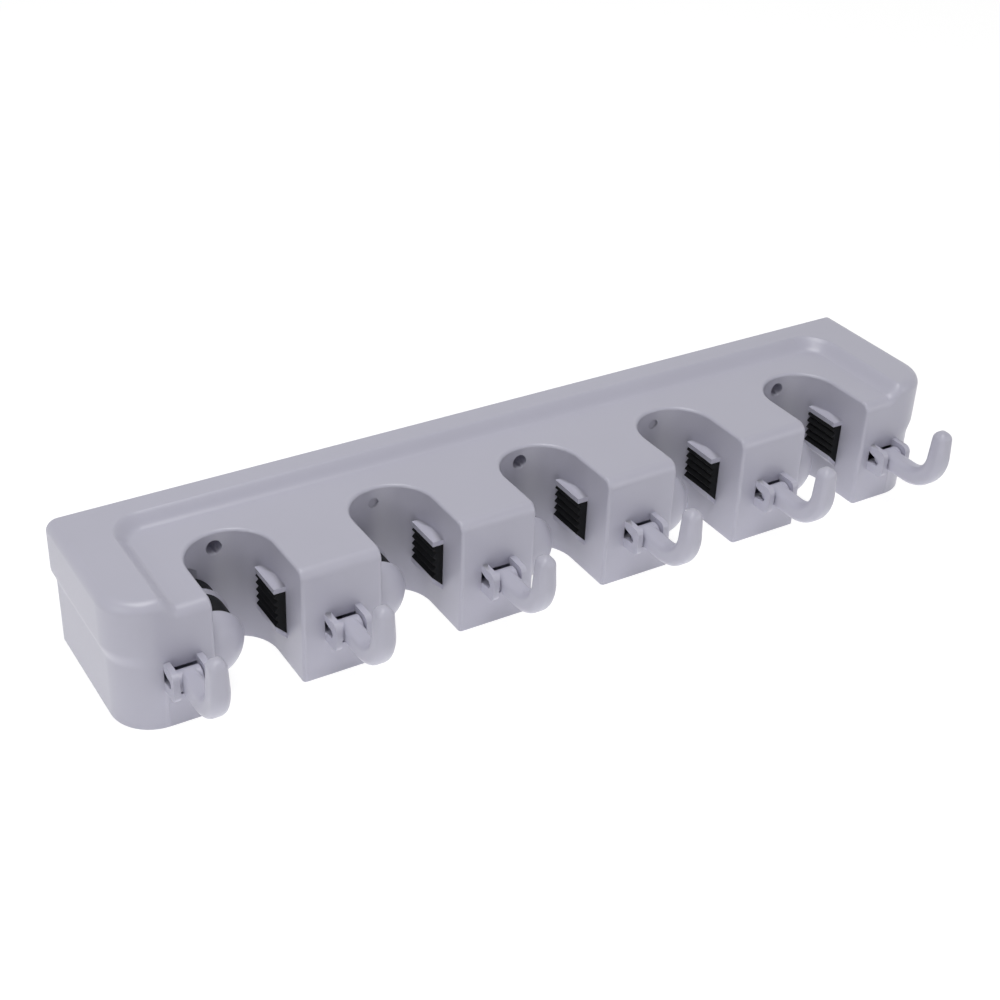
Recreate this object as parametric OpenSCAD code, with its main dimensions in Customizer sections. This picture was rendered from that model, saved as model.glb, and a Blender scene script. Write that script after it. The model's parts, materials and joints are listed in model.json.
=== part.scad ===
// Wall rack for mops and brooms: a moulded housing with tool slots, each with a rubber pad on one side
// and a roller on the other that runs up a slanted groove and wedges the handle, and folding hooks in front.
// X runs along the wall, Y points into the wall and Z is up.
// The origin is the centre screw hole at the wall plane.

/* [Housing] */
// Distance between neighbouring tool slots
slot_pitch = 73; // [71:0.5:80]
// Width of a tool slot
slot_w = 37; // [35:0.5:39]
// Width of each end block, outside the outer slots
end_w = 40.5; // [37:0.5:48]
// Depth from the wall to the front face
body_d = 74; // [73:0.5:80]
// Height of the raised rim above the bottom
body_h = 59.4; // [58:0.2:66]
// Depth from the wall to the back of a slot
slot_back = 30.3; // [29.5:0.1:32]
// Thickness of the moulded walls
wall = 2.2; // [1.8:0.1:2.6]
// Radius of the front corners, seen from above
corner_r = 18; // [14:0.5:22]
// Fillet along the upper edges
top_r = 5; // [3:0.1:6]
// Rounding of the slot edges
rim_r = 1.5; // [0.6:0.1:2]

/* [Top field] */
// How far the field lies below the rim
field_drop = 5.6; // [3:0.1:7]
// Width of the rim along the wall
rim_back = 8.7; // [7:0.1:11]
// Width of the ramp from the rim down to the field
ramp_w = 8; // [5:0.5:9]
// Radius of the field's back corners
field_r = 8; // [5:0.5:12]

/* [End step] */
// How far the upper half of each end stands proud of the lower half
step_w = 2; // [0.5:0.1:2.4]
// Height at which the lower half ends
step_z = 29; // [24:0.5:32]
// Height of the curve from the lower to the upper half
step_h = 8; // [5:0.5:10]

/* [Wall screws] */
// Height of the screw line above the bottom
screw_z = 46; // [44:0.5:47]
// Radius of the hole for the wall screw
screw_hole_r = 2.3; // [2:0.1:2.8]
// Radius of the sunk bore for the screw head
screw_head_r = 3.5; // [3.2:0.1:4]
// Thickness under the screw head
screw_seat = 4; // [3:0.5:8]

/* [Rollers] */
// Radius over the rubber bands
roller_r = 16.2; // [15:0.1:16.4]
// How far the roller axis at rest stands proud of the slot's wall
roller_out = 1.9; // [0.5:0.1:3]
// Height of the roller axis at rest, above the bottom
roller_z = 23; // [20:0.1:24]
// Gap between the back of the slot and the rear end of the roller
roller_gap = 3.2; // [2.5:0.1:4]
// Length of the rear band
band_rear_l = 10; // [8:0.5:10.5]
// Width of the ring between the bands
ring_w = 1.8; // [1.2:0.1:2.4]
// Length of the front band
band_front_l = 11; // [9:0.5:11.5]
// How far the bands stand proud of the ring and the cap
band_proud = 0.4; // [0.1:0.1:0.8]
// Thickness of the rubber bands
band_t = 3; // [2:0.1:4]
// Radius of the axle
axle_r = 3; // [2.5:0.1:3.4]
// Angle of the groove above the horizontal
groove_tilt = 45; // [40:1:50]
// Travel of the axle along its groove
groove_l = 16; // [10:0.5:16]

/* [Grip pads] */
// Length of a pad along the slot
pad_l = 18.6; // [15:0.2:20]
// Depth from the front face to the front end of a pad
pad_front = 15.2; // [12:0.2:18]
// Height of the lower end of a pad at the wall, above the bottom
pad_z = 15; // [13:0.2:17]
// How far the teeth stand off the wall
pad_proud = 5.2; // [4.5:0.1:6]
// Distance between neighbouring teeth
tooth_pitch = 3.5; // [3:0.1:3.8]
// Depth of the grooves between the teeth
tooth_depth = 1.7; // [1:0.1:2]
// Thickness of the ledges above and below a pad
ledge_t = 2.3; // [1.6:0.1:2.6]

/* [Hooks] */
// Distance of the end hooks from the edge of the outer slots
end_hook_in = 13.5; // [11:0.5:18]
// Height of the hook pivots above the bottom
hook_z = 24.8; // [22:0.2:28]
// Distance of the hook pivots from the front face
hook_out = 4.8; // [4.7:0.1:6]
// Radius of the hook's cross bar
bar_r = 4.3; // [3.8:0.1:4.4]
// Radius of the trunnions
pin_r = 2; // [1.6:0.1:2.4]
// Reach of the hook from its pivot to the middle of the upright
hook_reach = 30.2; // [28:0.2:34]
// Height of the hook's tip above the pivot
hook_rise = 29.6; // [26:0.2:34]
// Thickness of the hook's shank
hook_t = 9; // [8:0.1:9.4]
// Thickness of the hook at its tip
tip_t = 8; // [7:0.1:9]
// Radius of the bend, at the middle of the rod
bend_r = 16; // [10:0.5:17]
// Gap between the ears of a bracket
ear_gap = 10.8; // [10.4:0.1:12]
// Thickness of an ear
ear_t = 2.7; // [2:0.1:3]
// How far the ears stand off the front face
ear_l = 10.2; // [9.6:0.1:12]
// Height of an ear
ear_h = 13; // [12:0.2:14]

/* [Back] */
// Thickness of the guide plate
guide_t = 2.5; // [2:0.1:3]
// Thickness of the back plate
plate_t = 3; // [2.5:0.1:3.5]
// How far the back plate lies inside the rim of the housing
plate_inset = 1; // [0.5:0.1:1.5]
// Height of the back plate screws above the bottom
post_z = 12; // [11:0.5:14]
// Radius of the posts for the back plate screws
post_r = 4; // [3.5:0.1:4.5]

/* [Hidden] */
$fn = 64;
SLOTS = [1, 2, 3, 4, 5];
HOOKS = [1, 2, 3, 4, 5, 6];
SCREW_SLOTS = [1, 3, 5];
DIMPLE_SLOTS = [2, 4];

// Colours
grey = "#b0afbb";
dark_grey = "#8d8c98";
black = "#1b1c1e";
steel = "#c4c6ca";

// Clearances
fit_gap = 0.05;     // between pieces that sit in each other
slide_gap = 0.1;    // between an axle and its grooves
run_gap = 0.06;     // between a turning piece and its pin
free_gap = 0.6;     // between a moving piece and a wall
plate_gap = 0.6;    // round the inner plates
cut = 1;            // how far a cutter runs past a face
chamfer = 0.4;      // on the ends of turned metal pieces

// Housing, worked out
middle = (len(SLOTS) + 1) / 2;
slot_r = slot_w / 2;
slot_mid = slot_back + slot_r;
body_l = (len(SLOTS) - 1) * slot_pitch + slot_w + 2 * end_w;
lower_l = body_l - 2 * step_w;
field_z = body_h - field_drop;
shoulder_z = field_z - top_r;
rim_flat = 1;       // flat strip between a ramp and the end's rounding
ramp_x1 = body_l / 2 - corner_r - rim_flat;
ramp_x0 = ramp_x1 - ramp_w;
ramp_d = rim_back + ramp_w;
inner_z0 = wall;
inner_z1 = field_z - wall;
inner_l = lower_l - 2 * wall;
rim_hollow = 1.2;   // how much thicker the walls under the rim are
rim_z1 = body_h - wall - rim_hollow;
ramp_steps = 10;
arc_steps = 8;
corner_steps = 12;
step_steps = 8;
edge_steps = 5;
ramp_over = 0.15;   // how far the ramp's curve runs past the rim

// Back, worked out
arc_back = slot_back - wall;
guide_gap = 2.1;    // between the slots' back walls and the guide plate
guide_d1 = arc_back - guide_gap;
guide_d0 = guide_d1 - guide_t;
plate_d0 = plate_inset;
plate_d1 = plate_inset + plate_t;
boss_r = screw_head_r + 2;
dimple_r = screw_head_r - 1;
post_foot = 2;      // how much wider a post is in front of the guide plate
sleeve_t = 2;       // wall of the sleeves round the posts
plate_l = inner_l - 2 * plate_gap;
pilot_r = 1.3;
pilot_l = 14;
screw_r = 1.5;
head_r = 2.9;
head_t = 1.6;
screw_l = 13;
screw_free = 0.3;   // round a screw in its hole
boss_free = 0.4;    // round a wall screw boss in the plates

// Rollers, worked out
roller_x = roller_out - slot_r;
roller_d0 = slot_back + roller_gap;
ring_d0 = roller_d0 + band_rear_l;
ring_d1 = ring_d0 + ring_w;
cap_d0 = ring_d1 + band_front_l;
cap_d1 = body_d - wall - free_gap;
core_r = roller_r - band_t;
drum_t = 2.2;
hub_r = 5;
hub_d0 = guide_d1 + 1;
cap_r = roller_r - band_proud;
cap_t = 2;
cap_h = cap_d1 - cap_d0;
dome_r = (cap_r * cap_r + cap_h * cap_h) / (2 * cap_h);
spigot_l = 4;
axle_end = 0.6;     // between the axle's end and the back plate's outer face
axle_d0 = plate_inset + axle_end;
axle_d1 = cap_d0 + 5;
axle_head_r = axle_r + 1.4;
axle_head_t = 1.6;
band_edge = 0.8;    // rounding of the bands' edges
end_play = 0.2;     // between the axle's head and the hub
clip_t = 1.2;
clip_r = axle_r + 2;
clip_seat = 0.5;    // depth of the clip's groove in the axle
clip_open = 1.4 * axle_r;
groove_x = -groove_l * cos(groove_tilt);
groove_z = groove_l * sin(groove_tilt);
pocket_r = roller_r + free_gap;
pocket_d0 = roller_d0 - 1;

// Pads, worked out
pad_d1 = body_d - pad_front;
pad_d0 = pad_d1 - pad_l;
pad_teeth = 5;
pad_top = pad_z + pad_proud + (pad_teeth - 0.5) * tooth_pitch;

// Hooks, worked out
pivot_d = body_d + hook_out;
shank_l = hook_reach - bend_r;
bar_l = ear_gap - free_gap;
bracket_w = ear_gap + 2 * ear_t;
ear_r = 3;
floor_t = 2;
floor_gap = 0.35;   // between the cross bar and the bracket's floor
ear_z0 = hook_z - bar_r - floor_gap - floor_t;
neck = 0.3;         // how much narrower than the pin the way into its seat is
mouth_low = 2.6;    // how far the mouth of an ear's slot reaches below the pivot
mouth_high = 3.2;   // how far it reaches above the pivot
hook_flat = 0.4;    // width taken off each flank of the round rod

function slot_x(k) = (k - middle) * slot_pitch;
function end_hook_x() = slot_x(len(SLOTS)) + slot_r + end_hook_in;
function hook_x(k) =
    k == 1 ? -end_hook_x()
    : k == len(HOOKS) ? end_hook_x()
    : slot_x(k) - slot_pitch / 2;
function ease(t) = (1 - cos(180 * t)) / 2;
function quarter(c, r, a0, n) = [for (i = [0 : n]) c + r * [cos(a0 + 90 * i / n), sin(a0 + 90 * i / n)]];

// Lifts shapes measured from the bottom into the frame of the screw line
module raised() translate([0, 0, -screw_z]) children();

// Extrudes a profile of x and z from one depth in front of the wall to another
module along_y(d0, d1) translate([0, -d0, 0]) rotate([90, 0, 0]) linear_extrude(d1 - d0) children();

// Extrudes a profile of y and z along the wall
module along_x(x0, x1) translate([x0, 0, 0]) rotate([90, 0, 90]) linear_extrude(x1 - x0) children();

// Turns a profile of radius and depth about an axis that runs out of the wall
module turned_y() rotate([90, 0, 0]) rotate_extrude() children();

module rod_y(r, d0, d1) along_y(d0, d1) circle(r);

// Closed solid through a list of rings of points, each going round the way a screw turns along the list
module loft(rings) {
    n = len(rings[0]);
    m = len(rings);
    skin = [for (j = [0 : m - 2], i = [0 : n - 1])
        [j * n + i, (j + 1) * n + i, (j + 1) * n + (i + 1) % n, j * n + (i + 1) % n]];
    first = [for (i = [0 : n - 1]) i];
    last = [for (i = [n - 1 : -1 : 0]) (m - 1) * n + i];
    polyhedron([for (ring = rings) each ring], concat(skin, [first, last]));
}

// Long round-ended hole from the axle's rest to the end of its groove
module groove(r) {
    side = r * [sin(groove_tilt), cos(groove_tilt)];
    end = [groove_x, groove_z];
    translate([roller_x, roller_z]) {
        circle(r);
        translate(end) circle(r);
        polygon([side, -side, end - side, end + side]);
    }
}

// Plan outline of the housing with round front corners
module plan(l, d, r) {
    translate([-l / 2, -(d - r)]) square([l, d - r]);
    translate([-l / 2 + r, -d]) square([l - 2 * r, d]);
    for (s = [-1, 1]) translate([s * (l / 2 - r), -(d - r)]) circle(r);
}

// Plan outline of a slot that runs out through the front, grown by a wall
module slot_plan(grow) {
    translate([0, -slot_mid]) circle(slot_r + grow);
    translate([-slot_r - grow, -body_d - cut]) square([2 * (slot_r + grow), body_d + cut - slot_mid]);
}

// Points of the plan outline, from the back left corner round the front, drawn in by an inset
function plan_ring(l, inset, z) =
    let (x = l / 2 - corner_r, y = -(body_d - corner_r), r = corner_r - inset) [
        for (p = concat(
            [[-x - r, 0]],
            quarter([-x, y], r, 180, corner_steps),
            quarter([x, y], r, 270, corner_steps),
            [[x + r, 0]]
        )) [p[0], p[1], z]
    ];

// Housing without its field: straight lower half, ends that curve out to the upper half, and a round top edge
module outer_form() {
    curve = [for (i = [0 : step_steps]) i / step_steps];
    fillet = [for (i = [0 : arc_steps]) 90 * i / arc_steps];
    loft(concat(
        [plan_ring(lower_l, 0, 0)],
        [for (t = curve) plan_ring(lower_l + 2 * step_w * ease(t), 0, step_z + step_h * t)],
        [for (a = fillet) plan_ring(body_l, top_r * (1 - cos(a)), body_h - top_r + top_r * sin(a))]
    ));
}

// Space above the ramp: flat at the field, curving up to the rim
function ramp_rise(t) = (field_drop + ramp_over) * ease(t);
function ramp_points(x0) = [for (i = [0 : ramp_steps])
    [x0 + ramp_w * i / ramp_steps, field_z + ramp_rise(i / ramp_steps)]];

module ramp_space(x0) {
    polygon(concat([[0, field_z]], ramp_points(x0), [[x0 + ramp_w, body_h + cut], [0, body_h + cut]]));
}

// Hollow of the field above the slots
module field_space() {
    turn_x = ramp_x0 - field_r;
    turn_d = ramp_d + field_r;
    for (s = [0, 1]) mirror([s, 0, 0]) {
        along_y(turn_d, body_d + cut) ramp_space(ramp_x0);
        translate([turn_x, -turn_d, 0]) rotate_extrude(angle = 90) ramp_space(field_r);
    }
    translate([0, -turn_d, 0]) along_x(-turn_x, turn_x) ramp_space(field_r);
}

// Space in front of the field: the round top edge carried down the ramps and along the field
module field_front() {
    arc = quarter([top_r - body_d, 0], top_r, 90, arc_steps);
    n = arc_steps;
    first = 2 * arc[n] - arc[n - 1];
    last = 2 * arc[0] - arc[1];
    line = concat(
        [[-body_d - cut, first[1]], first],
        [for (i = [n - 1 : -1 : 1]) arc[i]],
        [last]
    );
    function ring(x, z) = concat(
        [[x, -body_d - cut, body_h]],
        [for (p = line) [x, p[0], p[1] + z]],
        [[x, last[0], body_h + cut], [x, -body_d - cut, body_h + cut]]
    );
    left = [for (i = [ramp_steps : -1 : 0]) [-1, i / ramp_steps]];
    right = [for (i = [0 : ramp_steps]) [1, i / ramp_steps]];
    loft([for (p = concat(left, right)) ring(p[0] * (ramp_x0 + ramp_w * p[1]), shoulder_z + ramp_rise(p[1]))]);
}

// Outer form of the housing, still solid
module body_form() difference() {
    difference() {
        outer_form();
        field_space();
    }
    field_front();
}

// Inside of the housing, open to the wall
module body_hollow() {
    translate([0, 0, inner_z0]) linear_extrude(inner_z1 - inner_z0) difference() {
        translate([0, cut]) plan(inner_l, body_d - wall + cut, corner_r - wall);
        for (k = SLOTS) translate([slot_x(k), 0]) slot_plan(wall);
    }
    translate([-inner_l / 2, -(rim_back - rim_hollow), inner_z0])
        cube([inner_l, rim_back - rim_hollow + cut, rim_z1 - inner_z0]);
}

// Cross-section taken off a slot's edge to round it, at a height and reaching into the block
module edge_cut(height) {
    arc = quarter([rim_r, height - rim_r], rim_r, 90, edge_steps);
    start = 2 * arc[0] - arc[1];
    polygon(concat(
        [start],
        [for (i = [1 : edge_steps]) arc[i]],
        [[-cut, height - rim_r], [-cut, height + cut], [start[0], height + cut]]
    ));
}

// Rounded edge of a slot: round its back, along its walls, over the front fillet and down the front
module slot_edges() {
    translate([0, -slot_mid, 0]) rotate_extrude(angle = 180) translate([slot_r, 0]) edge_cut(field_z);
    for (s = [0, 1]) mirror([s, 0, 0]) translate([slot_r, 0, 0]) {
        along_y(slot_mid, body_d - top_r) edge_cut(field_z);
        translate([0, top_r - body_d, shoulder_z]) rotate([0, 90, 0]) rotate([0, 0, 180])
            rotate_extrude(angle = 90) rotate(90) mirror([0, 1]) edge_cut(top_r);
        translate([0, 0, -cut]) linear_extrude(shoulder_z + cut) mirror([0, 1]) edge_cut(body_d);
    }
}

// Slots and roller windows
module slot_spaces() {
    for (k = SLOTS) translate([slot_x(k), 0, 0]) {
        translate([0, 0, -cut]) linear_extrude(body_h + 2 * cut) slot_plan(0);
        slot_edges();
        along_y(pocket_d0, body_d - wall) groove(pocket_r);
        along_y(hub_d0 - cut, pocket_d0 + cut) groove(hub_r + free_gap);
    }
}

// Ledges that hold a pad on the right wall of a slot
module pad_ledges() {
    along_y(pad_d0, pad_d1) {
        translate([slot_r - pad_proud, pad_top + fit_gap]) square([pad_proud + wall / 2, ledge_t]);
        translate([slot_r, pad_z - fit_gap]) polygon([
            [wall / 2, -wall / 2], [-pad_proud, pad_proud],
            [-pad_proud, pad_proud - ledge_t], [wall / 2, -wall / 2 - ledge_t]
        ]);
    }
}

// Ear of a hook bracket, with the slot through which the trunnion snaps into its seat
module ear_profile() {
    ear_d1 = body_d + ear_l;
    difference() {
        union() {
            translate([-ear_d1 + ear_r, ear_z0]) square([ear_l - ear_r + wall / 2, ear_h]);
            translate([-ear_d1, ear_z0 + ear_r]) square([ear_l, ear_h - 2 * ear_r]);
            for (z = [ear_r, ear_h - ear_r]) translate([-ear_d1 + ear_r, ear_z0 + z]) circle(ear_r);
        }
        translate([-pivot_d, hook_z]) {
            circle(pin_r + run_gap);
            polygon([
                [0, neck - pin_r], [hook_out + cut, -mouth_low],
                [hook_out + cut, mouth_high], [0, pin_r - neck]
            ]);
        }
    }
}

module bracket() {
    for (s = [0, 1]) mirror([s, 0, 0]) along_x(ear_gap / 2, bracket_w / 2) ear_profile();
    translate([-bracket_w / 2, -(body_d + ear_l - ear_r), ear_z0])
        cube([bracket_w, ear_l - ear_r + wall / 2, floor_t]);
}

// Opening in the front wall behind a hook's cross bar, left by the tool that forms the ears' slots
module bracket_window() {
    translate([-bracket_w / 2, -body_d - cut / 2, hook_z - mouth_low])
        cube([bracket_w, wall + cut, mouth_low + mouth_high]);
}

// Shell with its slots, before anything is added to it
module shell() difference() {
    body_form();
    body_hollow();
    slot_spaces();
}

module housing() color(grey) raised() difference() {
    union() {
        shell();
        for (k = SLOTS) translate([slot_x(k), 0, 0]) {
            pad_ledges();
            translate([0, 0, post_z]) {
                rod_y(post_r, plate_d1, slot_back - wall / 4);
                rod_y(post_r + post_foot, guide_d1, slot_back - wall / 4);
            }
        }
        for (k = SCREW_SLOTS) translate([slot_x(k), 0, screw_z]) rod_y(boss_r, 0, slot_back - wall / 4);
        for (k = HOOKS) translate([hook_x(k), 0, 0]) bracket();
    }
    for (k = HOOKS) translate([hook_x(k), 0, 0]) bracket_window();
    for (k = SCREW_SLOTS) translate([slot_x(k), 0, screw_z]) {
        rod_y(screw_hole_r, -cut, screw_seat + cut);
        rod_y(screw_head_r, screw_seat, slot_back + cut);
    }
    for (k = DIMPLE_SLOTS) translate([slot_x(k), 0, screw_z])
        rod_y(dimple_r, slot_back - wall / 2, slot_back + cut);
    for (k = SLOTS) translate([slot_x(k), 0, post_z]) rod_y(pilot_r, plate_d1 - cut, plate_d1 + pilot_l);
}

// Outline of a plate that fits inside the housing, up to a height
module inner_plate(z1) {
    translate([-plate_l / 2, inner_z0 + plate_gap]) square([plate_l, z1 - inner_z0 - 2 * plate_gap]);
}

// Holes that both inner plates have: round the wall screw bosses, and the grooves for the axles
module plate_holes() {
    for (k = SCREW_SLOTS) translate([slot_x(k), screw_z]) circle(boss_r + boss_free);
    for (k = SLOTS) translate([slot_x(k), 0]) groove(axle_r + slide_gap);
}

module guide_plate() color(dark_grey) raised() along_y(guide_d0, guide_d1) difference() {
    inner_plate(inner_z1);
    plate_holes();
    for (k = SLOTS) translate([slot_x(k), post_z]) circle(post_r + fit_gap);
}

module back_plate() color(dark_grey) raised() difference() {
    union() {
        along_y(plate_d0, plate_d1) difference() {
            inner_plate(rim_z1);
            plate_holes();
        }
        for (k = SLOTS) translate([slot_x(k), 0, post_z]) rod_y(post_r + sleeve_t, plate_d0, guide_d0);
    }
    for (k = SLOTS) translate([slot_x(k), 0, post_z]) {
        rod_y(post_r + fit_gap, plate_d1, guide_d0 + cut);
        rod_y(screw_r + screw_free, 0, plate_d1 + cut);
        rod_y(head_r + screw_free, 0, plate_d0 + head_t);
    }
}

module back_plate_screws() color(steel) raised() for (k = SLOTS) translate([slot_x(k), 0, post_z]) {
    difference() {
        rod_y(head_r, plate_d0, plate_d0 + head_t);
        rod_y(head_r / 2, plate_d0 - cut, plate_d0 + head_t / 2);
    }
    rod_y(pilot_r - fit_gap, plate_d0 + head_t, plate_d0 + head_t + screw_l);
}

// Pad: a slanted foot and a row of teeth, with a back that follows the slot's wall
module grip_pad(k) color(black) raised() translate([slot_x(k), 0, 0]) intersection() {
    along_y(pad_d0, pad_d1) translate([slot_r, pad_z]) polygon(concat(
        [[cut, -cut]],
        [for (i = [0 : pad_teeth - 1]) each [
            [-pad_proud, pad_proud + i * tooth_pitch],
            [-pad_proud + tooth_depth, pad_proud + (i + 0.5) * tooth_pitch]
        ]],
        [[cut, pad_top - pad_z]]
    ));
    linear_extrude(body_h) slot_plan(-fit_gap);
}

// Places a roller's pieces on the axis of its rest position
module on_axis(k) raised() translate([slot_x(k) + roller_x, 0, roller_z]) children();

module roller_axle(k) color(steel) on_axis(k) turned_y() {
    clip_d1 = guide_d0 - slide_gap;
    polygon([
        [0, axle_d0], [axle_r - chamfer, axle_d0], [axle_r, axle_d0 + chamfer],
        [axle_r, clip_d1 - clip_t], [axle_r - clip_seat, clip_d1 - clip_t],
        [axle_r - clip_seat, clip_d1], [axle_r, clip_d1],
        [axle_r, axle_d1 - axle_head_t], [axle_head_r, axle_d1 - axle_head_t],
        [axle_head_r, axle_d1 - chamfer], [axle_head_r - chamfer, axle_d1], [0, axle_d1]
    ]);
}

// Spring ring with a gap, pushed into the groove behind the guide plate
module axle_clip(k) color(steel) on_axis(k) {
    clip_d1 = guide_d0 - slide_gap;
    along_y(clip_d1 - clip_t + fit_gap, clip_d1 - fit_gap) difference() {
        circle(clip_r);
        circle(axle_r - clip_seat + fit_gap);
        translate([-clip_open / 2, -clip_r - cut]) square([clip_open, clip_r + cut]);
    }
}

// Core: a hub on the axle, a web and a drum with the ring that parts the bands
module roller_core(k) color(grey) on_axis(k) turned_y() {
    bore = axle_r + run_gap;
    hub_d1 = axle_d1 - axle_head_t - end_play;
    translate([bore, hub_d0]) square([hub_r - bore, hub_d1 - hub_d0]);
    translate([bore, ring_d0]) square([core_r - bore, ring_w]);
    translate([core_r - drum_t, roller_d0]) square([drum_t, cap_d0 - roller_d0]);
    translate([core_r - drum_t, ring_d0]) square([cap_r - core_r + drum_t, ring_w]);
}

// Cap: a thin dome with a spigot that plugs into the drum
module roller_cap(k) color(grey) on_axis(k) turned_y() {
    spigot_r = core_r - drum_t - fit_gap;
    intersection() {
        difference() {
            translate([0, cap_d1 - dome_r]) circle(dome_r);
            translate([0, cap_d1 - dome_r]) circle(dome_r - cap_t);
        }
        translate([0, cap_d0 + fit_gap]) square([roller_r, cap_h]);
    }
    translate([spigot_r - cap_t, cap_d0 - spigot_l]) square([cap_t, spigot_l + cap_t]);
    translate([spigot_r - cap_t, cap_d0 + fit_gap]) square([cap_r - cap_t / 2 - spigot_r + cap_t, cap_t]);
}

// Rubber band with rounded edges
module band(d0, l) {
    r = band_edge;
    in_r = core_r + fit_gap;
    turned_y() translate([in_r, d0]) polygon(concat(
        [[0, fit_gap]],
        quarter([roller_r - in_r - r, fit_gap + r], r, 270, 4),
        quarter([roller_r - in_r - r, l - fit_gap - r], r, 0, 4),
        [[0, l - fit_gap]]
    ));
}

module band_rear(k) color(black) on_axis(k) band(roller_d0, band_rear_l);

module band_front(k) color(black) on_axis(k) band(ring_d1, band_front_l);

// Round rod with flat flanks
module rod_section() intersection() {
    circle(d = hook_t);
    square([hook_t - 2 * hook_flat, hook_t], center = true);
}

module hook(k) color(grey) raised() translate([hook_x(k), -pivot_d, hook_z]) {
    rotate([0, 90, 0]) {
        cylinder(r = bar_r, h = bar_l, center = true);
        cylinder(r = pin_r, h = bracket_w, center = true);
    }
    along_y(0, shank_l) rod_section();
    translate([0, -shank_l, bend_r]) rotate([0, 90, 0]) rotate([0, 0, 270])
        rotate_extrude(angle = 90) translate([bend_r, 0]) rotate(90) rod_section();
    translate([0, -hook_reach, bend_r]) {
        straight = hook_rise - bend_r - tip_t / 2;
        cylinder(d1 = hook_t, d2 = tip_t, h = straight);
        translate([0, 0, straight]) sphere(d = tip_t);
    }
}

housing();
guide_plate();
back_plate();
back_plate_screws();
for (k = SLOTS) {
    grip_pad(k);
    roller_axle(k);
    axle_clip(k);
    roller_core(k);
    roller_cap(k);
    band_front(k);
    band_rear(k);
}
for (k = HOOKS) {
    hook(k);
}
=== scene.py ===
import json
import math

import bmesh
import bpy
from mathutils import Matrix, Vector


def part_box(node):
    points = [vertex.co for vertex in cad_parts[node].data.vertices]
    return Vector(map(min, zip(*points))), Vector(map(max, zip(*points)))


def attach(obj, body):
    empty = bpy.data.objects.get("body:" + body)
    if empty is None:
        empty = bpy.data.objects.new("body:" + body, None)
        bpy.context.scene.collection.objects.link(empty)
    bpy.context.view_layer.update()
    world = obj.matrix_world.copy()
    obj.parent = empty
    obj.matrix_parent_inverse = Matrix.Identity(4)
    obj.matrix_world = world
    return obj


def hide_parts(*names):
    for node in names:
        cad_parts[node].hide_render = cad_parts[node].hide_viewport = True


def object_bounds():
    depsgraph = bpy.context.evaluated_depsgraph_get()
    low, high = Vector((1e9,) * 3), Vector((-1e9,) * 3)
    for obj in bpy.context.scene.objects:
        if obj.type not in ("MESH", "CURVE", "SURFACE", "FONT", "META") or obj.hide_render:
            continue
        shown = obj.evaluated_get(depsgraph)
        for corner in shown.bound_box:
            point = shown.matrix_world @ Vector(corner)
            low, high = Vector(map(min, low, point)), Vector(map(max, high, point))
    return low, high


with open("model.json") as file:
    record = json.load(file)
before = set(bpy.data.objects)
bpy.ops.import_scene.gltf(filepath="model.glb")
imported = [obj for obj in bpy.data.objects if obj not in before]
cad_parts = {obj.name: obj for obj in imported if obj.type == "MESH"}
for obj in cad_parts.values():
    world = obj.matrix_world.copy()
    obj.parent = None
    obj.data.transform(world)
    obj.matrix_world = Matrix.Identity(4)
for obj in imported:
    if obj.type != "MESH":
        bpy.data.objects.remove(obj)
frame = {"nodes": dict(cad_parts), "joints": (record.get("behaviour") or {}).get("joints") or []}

bl_info = {
    "name": "Wall Rack Looks",
    "version": (1, 0, 0),
    "blender": (4, 5, 0),
    "location": "View3D > Sidebar > Wall Rack",
    "description": "Models the visible pieces of a wall rack for mops and brooms on its packed frame",
    "category": "Object",
}

MM = 0.001
CAD_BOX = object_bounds()
SLOTS = [int(n.rsplit("_", 1)[1]) for n in sorted(frame["nodes"]) if n.startswith("grip_pad_")]
HOOKS = [int(n.rsplit("_", 1)[1]) for n in sorted(frame["nodes"]) if n.startswith("hook_")]
MIDDLE_SLOT = SLOTS[len(SLOTS) // 2]

# Finishes, by the names of their materials
SATIN = "Moulded polypropylene satin"
MATT = "Moulded polypropylene matt"
RUBBER = "Moulded rubber black"
ZINC = "Zinc plated steel"

# Facets of round pieces, and steps along their curves
ROLLER_FACETS = 96
BAR_FACETS = 48
SCREW_FACETS = 32
DOME_STEPS = 20
BEND_STEPS = 14
TIP_STEPS = 7
CORNER_STEPS = 8

# Width of a screw's point as a share of its shank's
POINT_SHARE = 0.15

# Points closer than this are one point
NODE_WELD = 0.001 * MM
PIECE_WELD = 0.002 * MM

# Largest upward part of an upright face's normal, and smallest part along one axis of a square face's
UPRIGHT = 0.01
SQUARE = 0.99999

# Floor: its side and its gap under the rack in metres, its glow as light and as seen, and its grey as seen
FLOOR_SIDE = 12
FLOOR_GAP = 0.5 * MM
FLOOR_LIGHT = 0.5
FLOOR_SEEN = 0.93
FLOOR_SHADE = (0.2, 0.2, 0.2)

# Strength of the sky, as light and as seen
SKY_LIGHT = 0.09
SKY_SEEN = 1

# Softboxes: name, place in metres, side in metres and power in watts
LAMPS = (
    ("top softbox", (-0.18, -0.1, 1.2), 0.7, 9.7),
    ("left softbox", (-1.3, -0.4, 0.6), 0.6, 3.2),
    ("front softbox", (0.9, -1.2, 0.45), 0.7, 2.9),
)
LAMP_AIM = Vector((0, -0.05, 0))

# Camera, as fitted to the photograph: place in metres, turns in degrees, lens and sensor in millimetres
CAMERA_PLACE = (-0.35278, -0.56842, 0.38484)
CAMERA_TURNS = (58.0796, -1.6408, -30.3194)
CAMERA_LENS = 60.7
CAMERA_SENSOR = 36
CAMERA_SHIFT = (0.03, -0.01)
CAMERA_NEAR = 0.01


def linear(code):
    """Linear colour of an sRGB hex value."""
    parts = [int(code[i:i + 2], 16) / 255 for i in (0, 2, 4)]
    return tuple(c / 12.92 if c <= 0.04045 else ((c + 0.055) / 1.055) ** 2.4 for c in parts)


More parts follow.
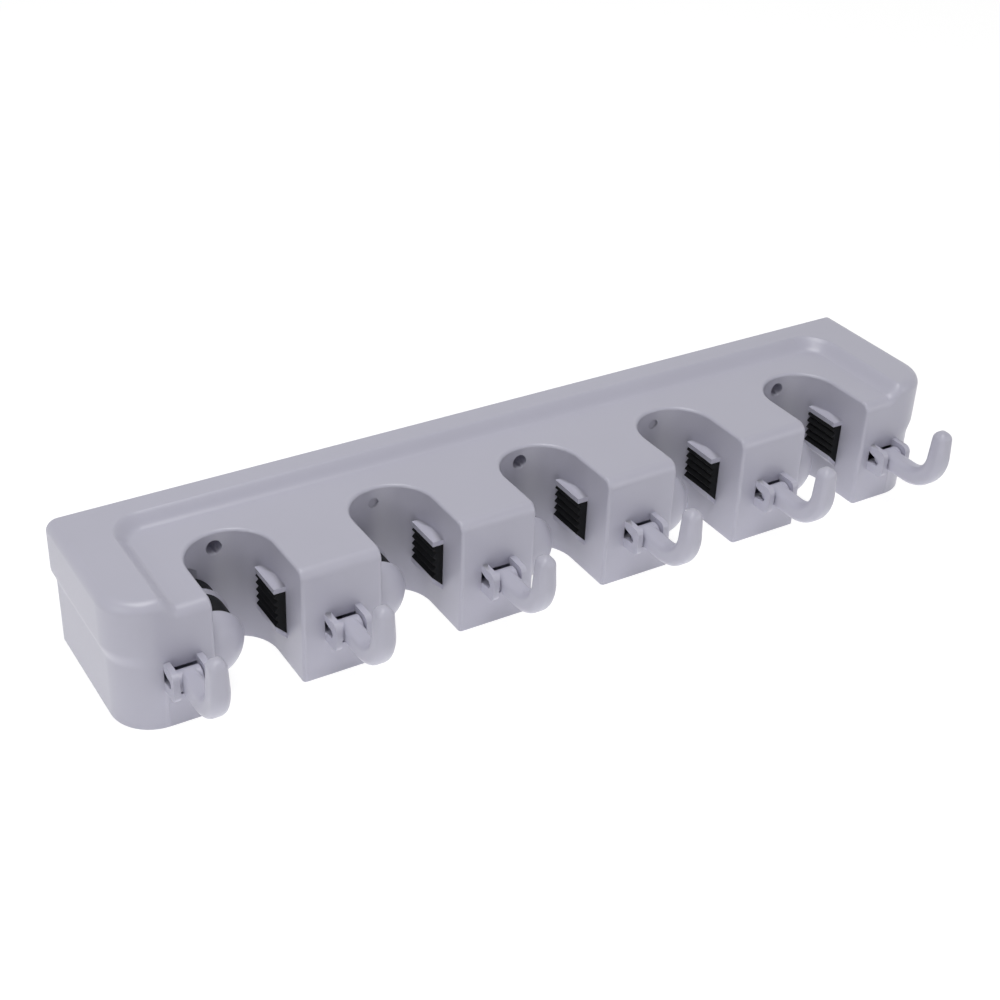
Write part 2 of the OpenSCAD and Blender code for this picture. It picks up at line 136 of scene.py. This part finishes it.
def colour(code, name, description):
    """Colour property that starts at an sRGB hex value."""
    return bpy.props.FloatVectorProperty(
        name=name, description=description, subtype="COLOR", size=3, min=0, max=1, default=linear(code))


def length(size, name, description):
    """Length property that starts at a size in millimetres."""
    return bpy.props.FloatProperty(
        name=name, description=description, default=size * MM, min=0, subtype="DISTANCE", unit="LENGTH")


class RackFinishes(bpy.types.PropertyGroup):
    """Colours of the rack's materials"""
    plastic: colour("bab9c7", "Plastic", "Grey plastic of the housing, hooks and rollers")
    inner: colour("a09eaa", "Inner plastic", "Plastic of the plates behind the rollers")
    rubber: colour("0e0f11", "Rubber", "Black rubber of the pads and bands")
    zinc: colour("c9cbce", "Zinc", "Plating of the axles, clips and screws")
    floor: colour("f4f4f4", "Floor", "Pale floor under the rack")


class RackSizes(bpy.types.PropertyGroup):
    """Sizes of the pieces that are modelled on the frame"""
    pitch: length(73, "Slot pitch", "Distance between neighbouring tool slots")
    slot_round: length(18.5, "Slot radius", "Radius of the round back of a tool slot")
    slot_axis: length(48.8, "Slot axis", "Depth of the axis of a slot's round back in front of the wall")
    corner: length(18, "Front corners", "Radius of the housing's front corners")
    end_step: length(2, "End step", "How far the lower half of each end lies inside the upper half")
    bracket: length(10.2, "Bracket", "How far the hook brackets stand off the housing's front")
    band_wall: length(1.3, "Band wall", "Thickness of the rubber bands")
    band_sunk: length(1.6, "Band depth", "How far the bands lie below the roller's widest radius")
    band_edge: length(0.3, "Band edge", "Rounding of the bands' edges")
    cap_rim: length(4, "Cap rim", "How far the front band runs on into the cap's end of the roller")
    cap_wall: length(1.6, "Cap wall", "Thickness of the domed roller caps")
    cap_edge: length(0.5, "Cap edge", "Rounding of the caps' rims")
    cap_gap: length(0.1, "Cap gap", "Gap between a front band and the rim of its cap")
    tooth_edge: length(0.25, "Tooth edge", "Rounding of a pad's edges")
    rod: length(9, "Hook rod", "Thickness of a hook's shank")
    rod_tip: length(8, "Hook tip", "Thickness of a hook at its tip")
    rod_wide: length(8.4, "Hook width", "Width of a hook's shank between its flanks")
    rod_corner: length(2.9, "Hook corners", "Rounding of the corners of a hook's section")
    rod_bend: length(16, "Hook bend", "Radius of a hook's bend, at the middle of the rod")
    bar: length(4.3, "Cross bar", "Radius of a hook's cross bar")
    pin: length(2, "Trunnions", "Radius of the pins at the ends of the cross bar")
    pin_sunk: length(1.6, "Trunnion depth", "How far the pins end inside the outer faces of the ears")
    ear: length(2.7, "Ears", "Thickness of an ear of a bracket")
    bar_gap: length(0.3, "Cross bar gap", "Gap between the cross bar and an ear of its bracket")
    bar_edge: length(0.5, "Cross bar edge", "Rounding of the cross bar's ends")
    screw_head: length(2.9, "Screw head", "Radius of a back plate screw's head")
    screw_top: length(1.6, "Screw head height", "Height of a back plate screw's head")
    screw_shank: length(1.25, "Screw shank", "Radius of a back plate screw's shank")
    screw_edge: length(0.5, "Screw head edge", "Rounding of a back plate screw's head")
    screw_point: length(2, "Screw point", "Length of the point of a back plate screw")
    cross_long: length(3.625, "Cross length", "Length of the cross recess in a screw's head")
    cross_wide: length(0.725, "Cross width", "Width of an arm of the cross recess")
    cross_deep: length(0.8, "Cross depth", "Depth of the cross recess")


def add(tree, kind, inputs=(), links=(), **settings):
    """Adds a shader node with its settings, values and links."""
    made = tree.nodes.new(kind)
    for key, value in settings.items():
        setattr(made, key, value)
    for key, value in dict(inputs).items():
        made.inputs[key].default_value = value
    for key, socket in dict(links).items():
        tree.links.new(socket, made.inputs[key])
    return made


def new_material(name):
    """Empty node material, with its output."""
    found = bpy.data.materials.get(name)
    if found:
        bpy.data.materials.remove(found)
    made = bpy.data.materials.new(name)
    made.use_nodes = True
    made.node_tree.nodes.clear()
    return made, made.node_tree, made.node_tree.nodes.new("ShaderNodeOutputMaterial")


def noise(tree, size, detail, rough):
    """Noise in object coordinates with features of a size in millimetres, as a socket."""
    place = add(tree, "ShaderNodeTexCoord")
    made = add(tree, "ShaderNodeTexNoise", {"Scale": 1 / (size * MM), "Detail": detail, "Roughness": rough},
               {"Vector": place.outputs["Object"]})
    return made.outputs["Fac"]


def tint(tree, factor, base, low, high):
    """Colour that runs between two shades of a base colour, as a socket."""
    made = add(tree, "ShaderNodeMix", {}, {"Factor": factor}, data_type="RGBA")
    # Inputs 6 and 7 of this node are its colours, and output 2 is the mixed colour
    for socket, share in ((6, low), (7, high)):
        made.inputs[socket].default_value = tuple(min(1, c * share) for c in base) + (1,)
    return made.outputs[2]


def spread(tree, factor, low, high):
    """Value that runs between two limits, as a socket."""
    made = add(tree, "ShaderNodeMapRange", {"To Min": low, "To Max": high}, {"Value": factor})
    return made.outputs["Result"]


def relief(tree, height, strength, depth):
    """Bumps of a depth in millimetres, as a socket."""
    made = add(tree, "ShaderNodeBump", {"Strength": strength, "Distance": depth * MM}, {"Height": height})
    return made.outputs["Normal"]


def moulded_plastic(name, base, rough, pit, depth):
    """Injection moulded polypropylene: an even colour with faint flow clouds, and the fine spark grain of
    the tool, which breaks up the soft highlight."""
    made, tree, out = new_material(name)
    flow = noise(tree, size=45, detail=3, rough=0.55)
    grain = noise(tree, size=pit, detail=2, rough=0.6)
    skin = add(tree, "ShaderNodeBsdfPrincipled", {"IOR": 1.49, "Specular IOR Level": 0.5}, {
        "Base Color": tint(tree, flow, base, low=0.965, high=1.03),
        "Roughness": spread(tree, grain, low=rough - 0.06, high=rough + 0.06),
        "Normal": relief(tree, grain, strength=0.35, depth=depth),
    })
    tree.links.new(skin.outputs["BSDF"], out.inputs["Surface"])
    return made


def moulded_rubber(name, base):
    """Moulded black rubber: a dull surface with fine pores and a faint grey bloom in patches."""
    made, tree, out = new_material(name)
    bloom = noise(tree, size=6, detail=4, rough=0.6)
    pores = noise(tree, size=0.7, detail=3, rough=0.7)
    skin = add(tree, "ShaderNodeBsdfPrincipled", {"IOR": 1.52, "Specular IOR Level": 0.15}, {
        "Base Color": tint(tree, bloom, base, low=0.8, high=1.6),
        "Roughness": spread(tree, bloom, low=0.42, high=0.62),
        "Normal": relief(tree, pores, strength=0.4, depth=0.05),
    })
    tree.links.new(skin.outputs["BSDF"], out.inputs["Surface"])
    return made


def zinc_plate(name, base):
    """Zinc plated steel: a bright grey metal with the faint blotches of the plating bath."""
    made, tree, out = new_material(name)
    blotch = noise(tree, size=1.5, detail=3, rough=0.5)
    skin = add(tree, "ShaderNodeBsdfPrincipled", {"Metallic": 1}, {
        "Base Color": tint(tree, blotch, base, low=0.85, high=1.05),
        "Roughness": spread(tree, blotch, low=0.22, high=0.4),
    })
    tree.links.new(skin.outputs["BSDF"], out.inputs["Surface"])
    return made


def seen_rays(tree):
    """Socket that is 1 for rays that show a surface to the camera, straight, mirrored or through a piece."""
    rays = add(tree, "ShaderNodeLightPath").outputs
    direct = add(tree, "ShaderNodeMath", {}, {0: rays["Is Camera Ray"], 1: rays["Is Glossy Ray"]},
                 operation="MAXIMUM")
    every = add(tree, "ShaderNodeMath", {}, {0: direct.outputs[0], 1: rays["Is Transmission Ray"]},
                operation="MAXIMUM")
    return every.outputs[0]


def glowing(tree, shade, strength):
    """Matt surface that also glows, as a shader socket."""
    matt = add(tree, "ShaderNodeBsdfDiffuse", {"Color": tuple(shade) + (1,)})
    glow = add(tree, "ShaderNodeEmission", {"Strength": strength})
    return add(tree, "ShaderNodeAddShader", {}, {0: matt.outputs[0], 1: glow.outputs[0]}).outputs[0]


def pale_floor(name, base):
    """Pale light table: white to the camera, with the soft shadow of the rack, and a glow that lights the
    rack from below. Seen from under it, it is clear."""
    made, tree, out = new_material(name)
    lighting = glowing(tree, base, FLOOR_LIGHT)
    shown = glowing(tree, FLOOR_SHADE, FLOOR_SEEN)
    table = add(tree, "ShaderNodeMixShader", {}, {0: seen_rays(tree), 1: lighting, 2: shown})
    side = add(tree, "ShaderNodeNewGeometry")
    clear = add(tree, "ShaderNodeBsdfTransparent")
    sheet = add(tree, "ShaderNodeMixShader", {}, {
        0: side.outputs["Backfacing"], 1: table.outputs[0], 2: clear.outputs[0]})
    tree.links.new(sheet.outputs[0], out.inputs["Surface"])
    return made


def studio_sky(name):
    """White world that is bright to the camera and lights the rack only faintly."""
    world = bpy.data.worlds.new(name)
    world.use_nodes = True
    tree = world.node_tree
    tree.nodes.clear()
    strength = spread(tree, seen_rays(tree), SKY_LIGHT, SKY_SEEN)
    sky = add(tree, "ShaderNodeBackground", {"Color": (1, 1, 1, 1)}, {"Strength": strength})
    add(tree, "ShaderNodeOutputWorld", {}, {"Surface": sky.outputs[0]})
    return world


def material(name):
    """Material of one of the rack's finishes, made on its first use."""
    found = bpy.data.materials.get(name)
    if found:
        return found
    finishes = bpy.context.scene.rack_finishes
    if name == SATIN:
        return moulded_plastic(name, finishes.plastic, rough=0.34, pit=0.9, depth=0.02)
    if name == MATT:
        return moulded_plastic(name, finishes.inner, rough=0.55, pit=1.1, depth=0.04)
    if name == RUBBER:
        return moulded_rubber(name, finishes.rubber)
    return zinc_plate(name, finishes.zinc)


def alone(obj):
    """Selects one object and makes it active."""
    if bpy.context.object and bpy.context.object.mode != "OBJECT":
        bpy.ops.object.mode_set(mode="OBJECT")
    bpy.ops.object.select_all(action="DESELECT")
    obj.select_set(True)
    bpy.context.view_layer.objects.active = obj


def started(name):
    """Object that an add operator has just made, named and with its place in its mesh."""
    obj = bpy.context.object
    obj.name = obj.data.name = name
    bpy.ops.object.transform_apply(location=True, rotation=True, scale=True)
    return obj


def edit(obj):
    """Enters edit mode with all of one object selected, by its vertices."""
    alone(obj)
    bpy.ops.object.mode_set(mode="EDIT")
    bpy.ops.mesh.select_mode(type="VERT")
    bpy.ops.mesh.select_all(action="SELECT")


def pick(obj, kind, test):
    """In edit mode, selects only the edges or faces that pass a test."""
    bpy.ops.mesh.select_mode(type=kind)
    bpy.ops.mesh.select_all(action="DESELECT")
    mesh = bmesh.from_edit_mesh(obj.data)
    for part in mesh.edges if kind == "EDGE" else mesh.faces:
        part.select_set(test(part))
    mesh.select_flush_mode()
    bmesh.update_edit_mesh(obj.data)


def modify(obj, kind, **settings):
    """Adds a modifier with its settings and applies it."""
    alone(obj)
    made = obj.modifiers.new(kind.title(), kind)
    for key, value in settings.items():
        setattr(made, key, value)
    bpy.ops.object.modifier_apply(modifier=made.name)


def rounded(obj, width, segments=3, degrees=40):
    """Rounds the edges that are sharper than an angle."""
    limit = math.radians(degrees)
    modify(obj, "BEVEL", width=width, segments=segments, limit_method="ANGLE", angle_limit=limit)


def extrude(*offset):
    """In edit mode, extrudes what is selected and moves it by an offset."""
    bpy.ops.mesh.extrude_region_move(TRANSFORM_OT_translate={"value": offset})


def smooth(obj, degrees):
    """Smooth shading, with sharp edges over an angle and the large faces kept flat."""
    alone(obj)
    bpy.ops.object.shade_smooth_by_angle(angle=math.radians(degrees))
    modify(obj, "WEIGHTED_NORMAL", keep_sharp=True, weight=60)


def true_round(obj, axes, gap=0.02 * MM):
    """Sets exact normals on upright round walls, given by their axes and radii, and on upright flat walls
    that are square to the frame, so that long thin facets shade evenly."""
    mesh = obj.data
    normals = [corner.vector.copy() for corner in mesh.corner_normals]
    for face in mesh.polygons:
        if abs(face.normal.z) > UPRIGHT:
            continue
        points = [mesh.vertices[v].co.xy for v in face.vertices]
        for x, y, radius in axes:
            spokes = [point - Vector((x, y)) for point in points]
            if all(abs(spoke.length - radius) < gap for spoke in spokes):
                side = math.copysign(1, face.normal.xy.dot(spokes[0]))
                for loop, spoke in zip(face.loop_indices, spokes):
                    normals[loop] = (side * spoke).normalized().to_3d()
                break
        else:
            if max(abs(face.normal.x), abs(face.normal.y)) > SQUARE:
                for loop in face.loop_indices:
                    normals[loop] = face.normal.copy()
    mesh.normals_split_custom_set(normals)


def outward(obj):
    """Merges doubles and turns all faces outwards."""
    edit(obj)
    bpy.ops.mesh.remove_doubles(threshold=PIECE_WELD)
    bpy.ops.mesh.normals_make_consistent(inside=False)
    bpy.ops.object.mode_set(mode="OBJECT")


def finished(obj, finish, body, slot, *nodes):
    """Gives a piece its finish, its body and the frame nodes that it stands for."""
    obj.data.materials.clear()
    obj.data.materials.append(material(finish))
    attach(obj, body)
    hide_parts(*nodes)


def moved_copy(obj, name, offset):
    """Copy with its own mesh, moved in the mesh."""
    made = bpy.data.objects.new(name, obj.data.copy())
    made.data.name = name
    made.data.transform(Matrix.Translation(offset))
    bpy.context.scene.collection.objects.link(made)
    return made


def node_copy(node, name):
    """Copy of a frame node with its loose triangles merged into one skin."""
    made = moved_copy(frame["nodes"][node], name, (0, 0, 0))
    edit(made)
    bpy.ops.mesh.remove_doubles(threshold=NODE_WELD)
    bpy.ops.object.mode_set(mode="OBJECT")
    return made


def middle(node):
    """Middle of a frame node's box."""
    low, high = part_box(node)
    return (low + high) / 2


class RACK_OT_housing(bpy.types.Operator):
    """Finish the moulded housing and the plates inside it"""
    bl_idname = "rack.housing"
    bl_label = "Housing and plates"

    def execute(self, context):
        sizes = context.scene.rack_sizes
        shell = node_copy("housing", "housing_shell")
        smooth(shell, degrees=28)
        low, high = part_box("housing")
        front = low.y + sizes.bracket
        centre = middle("back_plate").x
        # Round walls: the backs of the slots, and the front corners of the upper and the lower half
        places = [centre + (k - MIDDLE_SLOT) * sizes.pitch for k in SLOTS]
        axes = [(x, -sizes.slot_axis, sizes.slot_round) for x in places]
        for end, side in ((low.x, 1), (high.x, -1)):
            for step in (0, sizes.end_step):
                axes.append((end + side * (step + sizes.corner), front + sizes.corner, sizes.corner))
        true_round(shell, axes)
        finished(shell, SATIN, "frame", "grey_plastic", "housing")
        for node in ("guide_plate", "back_plate"):
            plate = node_copy(node, node + "_moulded")
            smooth(plate, degrees=30)
            finished(plate, MATT, "frame", "inner_plastic", node)
        return {"FINISHED"}


class RACK_OT_screws(bpy.types.Operator):
    """Model the cross-head screws that hold the back plate"""
    bl_idname = "rack.screws"
    bl_label = "Back plate screws"

    def execute(self, context):
        sizes = context.scene.rack_sizes
        low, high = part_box("back_plate_screws")
        head = sizes.screw_top
        z = (low.z + high.z) / 2
        first = Vector((low.x + sizes.screw_head, high.y - head / 2, z))
        # Head with a round edge, then the shank and its point
        bpy.ops.object.select_all(action="DESELECT")
        bpy.ops.mesh.primitive_cylinder_add(
            vertices=SCREW_FACETS, radius=sizes.screw_head, depth=head, location=first,
            rotation=(math.pi / 2, 0, 0))
        screw = started("back_plate_screws_cross")
        edit(screw)
        pick(screw, "EDGE", lambda e: all(v.co.y > first.y for v in e.verts))
        bpy.ops.mesh.bevel(offset=sizes.screw_edge, segments=3, affect="EDGES")
        pick(screw, "FACE", lambda f: f.normal.y < -SQUARE)
        bpy.ops.mesh.inset(thickness=sizes.screw_head - sizes.screw_shank, depth=0)
        extrude(0, low.y - high.y + head + sizes.screw_point, 0)
        extrude(0, -sizes.screw_point, 0)
        bpy.ops.transform.resize(value=(POINT_SHARE, 1, POINT_SHARE), center_override=(first.x, low.y, z))
        bpy.ops.object.mode_set(mode="OBJECT")
        # Cross recess
        cutters = []
        for turn in (0, math.pi / 2):
            bpy.ops.mesh.primitive_cube_add(
                size=1, location=(first.x, high.y, z), rotation=(0, turn, 0),
                scale=(sizes.cross_long, 2 * sizes.cross_deep, sizes.cross_wide))
            cutters.append(started("cross_arm"))
        for cutter in cutters:
            modify(screw, "BOOLEAN", operation="DIFFERENCE", solver="EXACT", object=cutter)
            bpy.data.objects.remove(cutter)
        # Row of equal screws, joined into one piece
        step = (high.x - low.x - 2 * sizes.screw_head) / (len(SLOTS) - 1)
        row = [screw] + [moved_copy(screw, "screw_copy", (i * step, 0, 0)) for i in range(1, len(SLOTS))]
        alone(screw)
        for copy in row:
            copy.select_set(True)
        bpy.ops.object.join()
        smooth(screw, degrees=35)
        finished(screw, ZINC, "frame", "steel", "back_plate_screws")
        return {"FINISHED"}


class RACK_OT_pads(bpy.types.Operator):
    """Model the toothed rubber pads"""
    bl_idname = "rack.pads"
    bl_label = "Grip pads"

    def execute(self, context):
        sizes = context.scene.rack_sizes
        for k in SLOTS:
            pad = node_copy("grip_pad_%d" % k, "grip_pad_%d_rubber" % k)
            edit(pad)
            bpy.ops.mesh.dissolve_limited(angle_limit=math.radians(1))
            bpy.ops.object.mode_set(mode="OBJECT")
            rounded(pad, sizes.tooth_edge, degrees=30)
            smooth(pad, degrees=40)
            finished(pad, RUBBER, "frame", "pad_rubber", "grip_pad_%d" % k)
        return {"FINISHED"}


class RACK_OT_bands(bpy.types.Operator):
    """Model the rubber bands of the rollers"""
    bl_idname = "rack.bands"
    bl_label = "Roller bands"

    def execute(self, context):
        sizes = context.scene.rack_sizes
        for end in ("front", "rear"):
            low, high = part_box("band_%s_1" % end)
            longer = sizes.cap_rim if end == "front" else 0
            bpy.ops.object.select_all(action="DESELECT")
            bpy.ops.mesh.primitive_cylinder_add(
                vertices=ROLLER_FACETS, radius=(high.x - low.x) / 2 - sizes.band_sunk,
                depth=high.y - low.y + longer, end_fill_type="NOTHING",
                location=(low + high) / 2 - Vector((0, longer / 2, 0)), rotation=(math.pi / 2, 0, 0))
            band = started("band_%s_1_rubber" % end)
            outward(band)
            modify(band, "SOLIDIFY", thickness=sizes.band_wall, offset=-1)
            rounded(band, sizes.band_edge, segments=4)
            smooth(band, degrees=40)
            for k in SLOTS:
                node = "band_%s_%d" % (end, k)
                offset = middle(node) - (low + high) / 2
                piece = band if k == 1 else moved_copy(band, node + "_rubber", offset)
                finished(piece, RUBBER, "roller_%d" % k, "band_rubber", node)
        return {"FINISHED"}


class RACK_OT_rollers(bpy.types.Operator):
    """Model the domed caps and finish the roller cores, axles and clips"""
    bl_idname = "rack.rollers"
    bl_label = "Rollers"

    def execute(self, context):
        sizes = context.scene.rack_sizes
        low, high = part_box("roller_cap_1")
        centre = (low + high) / 2
        rim_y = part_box("band_front_1")[0].y - sizes.cap_rim - sizes.cap_gap
        rim = (high.x - low.x) / 2
        rise = rim_y - low.y
        # Radius of the sphere that the dome is cut from, and the angle from its top to its rim
        dome = (rim * rim + rise * rise) / (2 * rise)
        sweep = math.asin(rim / dome) if rise < rim else math.pi / 2
        bpy.ops.object.select_all(action="DESELECT")
        bpy.ops.mesh.primitive_circle_add(
            vertices=ROLLER_FACETS, radius=rim, fill_type="NOTHING", location=(centre.x, rim_y, centre.z),
            rotation=(math.pi / 2, 0, 0))
        cap = started("roller_cap_1_dome")
        edit(cap)
        radius, y = rim, rim_y
        for i in range(1, DOME_STEPS):
            angle = sweep * (1 - i / DOME_STEPS)
            new_radius, new_y = dome * math.sin(angle), low.y + dome * (1 - math.cos(angle))
            extrude(0, new_y - y, 0)
            share = new_radius / radius
            bpy.ops.transform.resize(value=(share, 1, share), center_override=(centre.x, new_y, centre.z))
            radius, y = new_radius, new_y
        extrude(0, low.y - y, 0)
        bpy.ops.mesh.merge(type="CENTER")
        bpy.ops.object.mode_set(mode="OBJECT")
        outward(cap)
        modify(cap, "SOLIDIFY", thickness=sizes.cap_wall, offset=-1)
        rounded(cap, sizes.cap_edge)
        smooth(cap, degrees=40)
        for k in SLOTS:
            node = "roller_cap_%d" % k
            piece = cap if k == 1 else moved_copy(cap, node + "_dome", middle(node) - centre)
            finished(piece, SATIN, "roller_%d" % k, "roller_plastic", node)
            core = node_copy("roller_core_%d" % k, "roller_core_%d_moulded" % k)
            smooth(core, degrees=35)
            finished(core, SATIN, "roller_%d" % k, "roller_plastic", "roller_core_%d" % k)
            for part in ("roller_axle", "axle_clip"):
                turned = node_copy("%s_%d" % (part, k), "%s_%d_plated" % (part, k))
                smooth(turned, degrees=30)
                finished(turned, ZINC, "carriage_%d" % k, "steel", "%s_%d" % (part, k))
        return {"FINISHED"}


class RACK_OT_hooks(bpy.types.Operator):
    """Model the folding hooks"""
    bl_idname = "rack.hooks"
    bl_label = "Hooks"

    def execute(self, context):
        sizes = context.scene.rack_sizes
        folds = [joint for joint in frame["joints"] if joint["name"].startswith("hook_fold_")]
        pivots = {joint["child"]: Vector(joint["pos_m"]) for joint in folds}
        pivot = pivots["folding_hook_1"]
        low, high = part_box("hook_1")
        reach = pivot.y - low.y - sizes.rod / 2
        rise = high.z - pivot.z
        bend_y = pivot.y - reach + sizes.rod_bend
        bend_z = pivot.z + sizes.rod_bend
        # Section of the rod
        bpy.ops.object.select_all(action="DESELECT")
        bpy.ops.mesh.primitive_plane_add(size=sizes.rod, location=pivot, rotation=(math.pi / 2, 0, 0))
        rod = started("hook_1_moulded")
        edit(rod)
        bpy.ops.transform.resize(value=(sizes.rod_wide / sizes.rod, 1, 1), center_override=pivot)
        bpy.ops.mesh.bevel(offset=sizes.rod_corner, segments=CORNER_STEPS, affect="VERTICES")
        bpy.ops.mesh.select_all(action="SELECT")
        bpy.ops.mesh.delete(type="ONLY_FACE")
        bpy.ops.mesh.select_all(action="SELECT")
        # Shank, bend and tapered end
        extrude(0, bend_y - pivot.y, 0)
        bpy.ops.mesh.spin(
            steps=BEND_STEPS, angle=math.pi / 2, center=(pivot.x, bend_y, bend_z), axis=(1, 0, 0))
        tip = sizes.rod_tip / 2
        straight = rise - sizes.rod_bend - tip
        extrude(0, 0, straight)
        share = sizes.rod_tip / sizes.rod
        foot = Vector((pivot.x, pivot.y - reach, bend_z + straight))
        bpy.ops.transform.resize(value=(share, share, 1), center_override=foot)
        # Round tip
        angles = [math.pi / 2 * i / TIP_STEPS for i in range(TIP_STEPS + 1)]
        for before, now in zip(angles[:-2], angles[1:-1]):
            extrude(0, 0, tip * (math.sin(now) - math.sin(before)))
            share = math.cos(now) / math.cos(before)
            bpy.ops.transform.resize(value=(share, share, 1), center_override=foot)
        extrude(0, 0, tip * (1 - math.sin(angles[-2])))
        bpy.ops.mesh.merge(type="CENTER")
        pick(rod, "EDGE", lambda e: e.is_boundary)
        bpy.ops.mesh.edge_face_add()
        bpy.ops.object.mode_set(mode="OBJECT")
        outward(rod)
        # Cross bar and trunnions
        wide = high.x - low.x
        bar_wide = wide - 2 * sizes.ear - 2 * sizes.bar_gap
        pin_wide = wide - 2 * sizes.pin_sunk
        for radius, across in ((sizes.bar, bar_wide), (sizes.pin, pin_wide)):
            bpy.ops.object.select_all(action="DESELECT")
            bpy.ops.mesh.primitive_cylinder_add(
                vertices=BAR_FACETS, radius=radius, depth=across, location=pivot,
                rotation=(0, math.pi / 2, 0))
            bar = started("cross_bar")
            rounded(bar, sizes.bar_edge)
            modify(rod, "BOOLEAN", operation="UNION", solver="EXACT", object=bar)
            bpy.data.objects.remove(bar)
        smooth(rod, degrees=24)
        for k in HOOKS:
            body = "folding_hook_%d" % k
            piece = rod if k == 1 else moved_copy(rod, "hook_%d_moulded" % k, pivots[body] - pivot)
            finished(piece, SATIN, body, "hook_plastic", "hook_%d" % k)
        return {"FINISHED"}


class RACK_OT_stage(bpy.types.Operator):
    """Set up the floor, the soft lights and the camera"""
    bl_idname = "rack.stage"
    bl_label = "Stage"

    def execute(self, context):
        scene = context.scene
        scene.view_settings.view_transform = "Standard"
        bpy.ops.object.select_all(action="DESELECT")
        bpy.ops.mesh.primitive_plane_add(size=FLOOR_SIDE, location=(0, 0, CAD_BOX[0].z - FLOOR_GAP))
        floor = started("floor")
        floor.data.materials.append(pale_floor("Pale matt floor", scene.rack_finishes.floor))
        for name, place, side, power in LAMPS:
            bpy.ops.object.light_add(type="AREA", location=place)
            lamp = context.object
            lamp.name = lamp.data.name = name
            lamp.data.shape = "SQUARE"
            lamp.data.size = side
            lamp.data.energy = power
            lamp.rotation_euler = (LAMP_AIM - Vector(place)).to_track_quat("-Z", "Y").to_euler()
        scene.world = studio_sky("studio")
        turns = [math.radians(turn) for turn in CAMERA_TURNS]
        bpy.ops.object.camera_add(location=CAMERA_PLACE, rotation=turns)
        camera = context.object
        camera.name = "camera"
        camera.data.sensor_width = CAMERA_SENSOR
        camera.data.lens = CAMERA_LENS
        camera.data.shift_x, camera.data.shift_y = CAMERA_SHIFT
        camera.data.clip_start = CAMERA_NEAR
        scene.camera = camera
        return {"FINISHED"}


class RACK_PT_panel(bpy.types.Panel):
    """Lists the pieces of the wall rack"""
    bl_idname = "RACK_PT_panel"
    bl_label = "Wall Rack"
    bl_space_type = "VIEW_3D"
    bl_region_type = "UI"
    bl_category = "Wall Rack"

    def draw(self, context):
        for operator in OPERATORS:
            self.layout.operator(operator.bl_idname)
        for group in (context.scene.rack_finishes, context.scene.rack_sizes):
            box = self.layout.box()
            for name in group.__annotations__:
                box.prop(group, name)


OPERATORS = (
    RACK_OT_housing, RACK_OT_screws, RACK_OT_pads, RACK_OT_bands, RACK_OT_rollers, RACK_OT_hooks,
    RACK_OT_stage)
CLASSES = (RackFinishes, RackSizes) + OPERATORS + (RACK_PT_panel,)


def register():
    """Makes the rack's settings, operators and panel known to Blender."""
    for item in CLASSES:
        bpy.utils.register_class(item)
    bpy.types.Scene.rack_finishes = bpy.props.PointerProperty(type=RackFinishes)
    bpy.types.Scene.rack_sizes = bpy.props.PointerProperty(type=RackSizes)


def unregister():
    """Takes back what register() has done, in reverse order."""
    del bpy.types.Scene.rack_sizes
    del bpy.types.Scene.rack_finishes
    for item in reversed(CLASSES):
        bpy.utils.unregister_class(item)


def main():
    """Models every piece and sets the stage."""
    register()
    bpy.ops.rack.housing()
    bpy.ops.rack.screws()
    bpy.ops.rack.pads()
    bpy.ops.rack.bands()
    bpy.ops.rack.rollers()
    bpy.ops.rack.hooks()
    bpy.ops.rack.stage()


if __name__ == "__main__":
    main()
